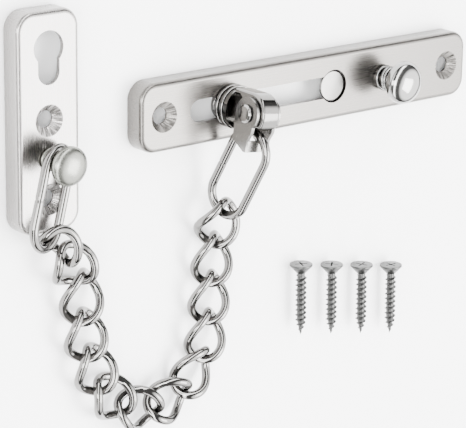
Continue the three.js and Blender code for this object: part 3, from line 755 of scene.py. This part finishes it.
def stirrup_link():
    behind = CROSSING / 2
    low = JOINTS[f"link_{LINK_COUNT:02d}_turn"]
    run = headed(STIRRUP_LINK_HEADING, END_LINK_LENGTH - behind, STIRRUP_LINK_APEX - low.z)
    place = laid(low, run, STIRRUP_LINK_ROLL)
    put(end_link("end_link_stirrup", -behind, 0.38), "stirrup_link", "stirrup_link", place)


# ---------- wood screws ----------

def thread_radius(z, turn):
    """Radius of the threaded shank at a height and a part of a turn: a core, a point and a ridge."""
    left = (SCREW_LENGTH - z) / SCREW_TIP_LENGTH
    taper = min(1.0, left) ** 0.8
    begin = min(1.0, max(0.0, (z - SCREW_HEAD_HEIGHT - 0.3) / 1.5))
    phase = (z / THREAD_PITCH - turn) % 1.0
    ridge = max(0.0, 1 - abs(phase - 0.5) / 0.27)
    height = (SCREW_CREST_RADIUS - SCREW_CORE_RADIUS) * ridge * begin * min(1.0, left * 1.6)
    return max(0.04, SCREW_CORE_RADIUS * taper + height)


def wood_screw(name, around=48, along=230):
    """Countersunk head with a cross recess, then a single-start thread to a gimlet point. Lies along x."""
    head = fillets([(0, 0.0), (SCREW_HEAD_RADIUS - 0.05, 0.0), (SCREW_HEAD_RADIUS, 0.55),
                    (SCREW_CORE_RADIUS + 0.25, SCREW_HEAD_HEIGHT)], 0.12)[1:]
    shank_start = SCREW_HEAD_HEIGHT + 0.1
    shank_length = SCREW_LENGTH - SCREW_HEAD_HEIGHT - 0.1
    shank = [(None, shank_start + shank_length * k / along) for k in range(along)]
    vertices = []
    rings = []
    for radius, z in head + shank:
        rings.append(list(range(len(vertices), len(vertices) + around)))
        for k in range(around):
            turn = k / around
            r = thread_radius(z, turn) if radius is None else radius
            vertices.append((r * math.cos(2 * math.pi * turn), r * math.sin(2 * math.pi * turn), z))
    top = len(vertices)
    point = top + 1
    vertices += [(0, 0, 0), (0, 0, SCREW_LENGTH)]
    screw = make(name, vertices, ring_faces([[top], *rings, [point]]), "screw", 50)
    for turn in (0, math.pi / 2):
        combine(screw, [recess_blade(turn)], "DIFFERENCE")
    smooth(screw, 50)
    screw.data.transform(Matrix.Rotation(math.pi / 2, 4, "Y"))
    return screw


def recess_blade(turn):
    """Cutter for one arm of the cross recess."""
    x = RECESS_REACH
    y = RECESS_WIDTH / 2
    blade = prism("blade", [(-x, -y), (x, -y), (x, y), (-x, y)], -1, RECESS_DEPTH)
    blade.data.transform(Matrix.Rotation(turn, 4, "Z"))
    return blade


def screws():
    for i in range(1, SCREW_COUNT + 1):
        node = f"wood_screw_{i}"
        low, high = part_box(node)
        head = Vector(((low.x + high.x) / 2, high.y, (low.z + high.z) / 2)) / MM
        place = laid(head, Vector(SCREW_RUN)) @ Matrix.Rotation(SCREW_TURN * i, 4, "X")
        put(wood_screw(f"wood_screw_{i}_threaded"), "door_plate", node, place)


# ---------- camera, floor and light ----------

# Camera: the way back to it from what it looks at, its upright, and where it looks, from the door plate.
CAMERA_BACK = (-0.6059, 0.2899, 0.7408)
CAMERA_UP = (0.1727, 0.9570, -0.2333)
CAMERA_AIM_X = -26.43
CAMERA_AIM_Y = -38.8
CAMERA_DISTANCE = 726.2
CAMERA_LENS = 173.6

FLOOR_HALF_SIZE = 2500.0
FLOOR_HEIGHT = -0.4

# The direction a flat face mirrors to the camera, then the sky's greys by how near a direction is to it
# and by how high it is. Both run from -1 to 1.
MIRRORED = (0.606, -0.290, 0.741)
SKY_BANDS = [(-1.0, 0.40), (-0.40, 0.40), (-0.34, 0.02), (0.02, 0.02), (0.08, 1.0), (0.22, 1.0),
             (0.28, 0.02), (0.62, 0.02), (0.78, 0.42), (1.0, 0.42)]
SKY_RISE = [(-1.0, 1.0), (0.0, 0.06), (0.12, 0.06), (0.24, 1.0), (1.0, 1.0)]
SKY_STRENGTH = 20.0


def camera():
    """Looks at the faces from the left and above, as if both plates hung on a wall."""
    back = Vector(CAMERA_BACK).normalized()
    right = Vector(CAMERA_UP).cross(back).normalized()
    up = back.cross(right)
    target = Vector((door.x + CAMERA_AIM_X, door.y + CAMERA_AIM_Y, 0))
    place = Matrix((right, up, back)).transposed().to_4x4()
    place.translation = (target + back * CAMERA_DISTANCE) * MM
    data = bpy.data.cameras.new("camera")
    data.lens = CAMERA_LENS
    data.sensor_width = 36.0
    data.clip_start = 0.01
    data.clip_end = 20.0
    eye = bpy.data.objects.new("camera", data)
    bpy.context.scene.collection.objects.link(eye)
    eye.matrix_world = place
    bpy.context.scene.camera = eye


def floor():
    size = FLOOR_HALF_SIZE * MM
    corners = [(-size, -size, 0), (size, -size, 0), (size, size, 0), (-size, size, 0)]
    mesh = bpy.data.meshes.new("floor")
    mesh.from_pydata(corners, [], [(0, 1, 2, 3)])
    made, nodes, _ = material("pale_floor")
    shader = nodes["Principled BSDF"]
    shader.inputs["Base Color"].default_value = (0.96, 0.96, 0.96, 1)
    shader.inputs["Roughness"].default_value = 0.9
    shader.inputs["Specular IOR Level"].default_value = 0.1
    mesh.materials.append(made)
    obj = bpy.data.objects.new("floor", mesh)
    obj.location.z = FLOOR_HEIGHT * MM
    bpy.context.scene.collection.objects.link(obj)


def sky():
    """Bright and dark bands round the direction the faces mirror, dimmed near the horizon."""
    world = bpy.data.worlds.new("studio")
    bpy.context.scene.world = world
    world.use_nodes = True
    nodes, links = world.node_tree.nodes, world.node_tree.links
    where = nodes.new("ShaderNodeTexCoord")
    toward = nodes.new("ShaderNodeVectorMath")
    toward.operation = "DOT_PRODUCT"
    toward.inputs[1].default_value = MIRRORED
    links.new(where.outputs["Generated"], toward.inputs[0])
    bands = grey_ramp(nodes, links, toward.outputs["Value"], SKY_BANDS)
    split = nodes.new("ShaderNodeSeparateXYZ")
    links.new(where.outputs["Generated"], split.inputs["Vector"])
    rise = grey_ramp(nodes, links, split.outputs["Z"], SKY_RISE)
    both = nodes.new("ShaderNodeMix")
    both.data_type = "RGBA"
    both.blend_type = "MULTIPLY"
    both.inputs["Factor"].default_value = 1.0
    links.new(bands, both.inputs["A"])
    links.new(rise, both.inputs["B"])
    background = nodes["Background"]
    background.inputs["Strength"].default_value = SKY_STRENGTH
    links.new(both.outputs["Result"], background.inputs["Color"])


def grey_ramp(nodes, links, value, stops):
    """Greys at stops of a value that runs from -1 to 1."""
    lift = nodes.new("ShaderNodeMapRange")
    lift.inputs["From Min"].default_value = -1.0
    lift.inputs["From Max"].default_value = 1.0
    links.new(value, lift.inputs["Value"])
    ramp = nodes.new("ShaderNodeValToRGB")
    while len(ramp.color_ramp.elements) < len(stops):
        ramp.color_ramp.elements.new(0.5)
    for element, (at, grey) in zip(ramp.color_ramp.elements, stops):
        element.position = (at + 1) / 2
        element.color = (grey, grey, grey, 1)
    links.new(lift.outputs["Result"], ramp.inputs["Fac"])
    return ramp.outputs["Color"]


def softbox(name, position, width, height, power):
    """Rectangular lamp turned to the middle of the frame. Places and sizes in metres."""
    data = bpy.data.lights.new(name, "AREA")
    data.shape = "RECTANGLE"
    data.size = width
    data.size_y = height
    data.energy = power
    lamp = bpy.data.objects.new(name, data)
    bpy.context.scene.collection.objects.link(lamp)
    lamp.rotation_euler = (-Vector(position)).to_track_quat("-Z", "Y").to_euler()
    lamp.location = position


door_plate()
jamb_plate()
jamb_post()
release_button()
button_spring()
latch_strip()
latch_disc()
slider_stud()
swivel_head()
stirrup_pin()
stirrup()
curb_links()
post_link()
stirrup_link()
screws()
camera()
floor()
sky()
softbox("top_light", (0.5, -0.2, 1.0), 0.7, 0.7, 30)
softbox("left_light", (-0.9, 0.1, 0.6), 0.4, 0.8, 16)
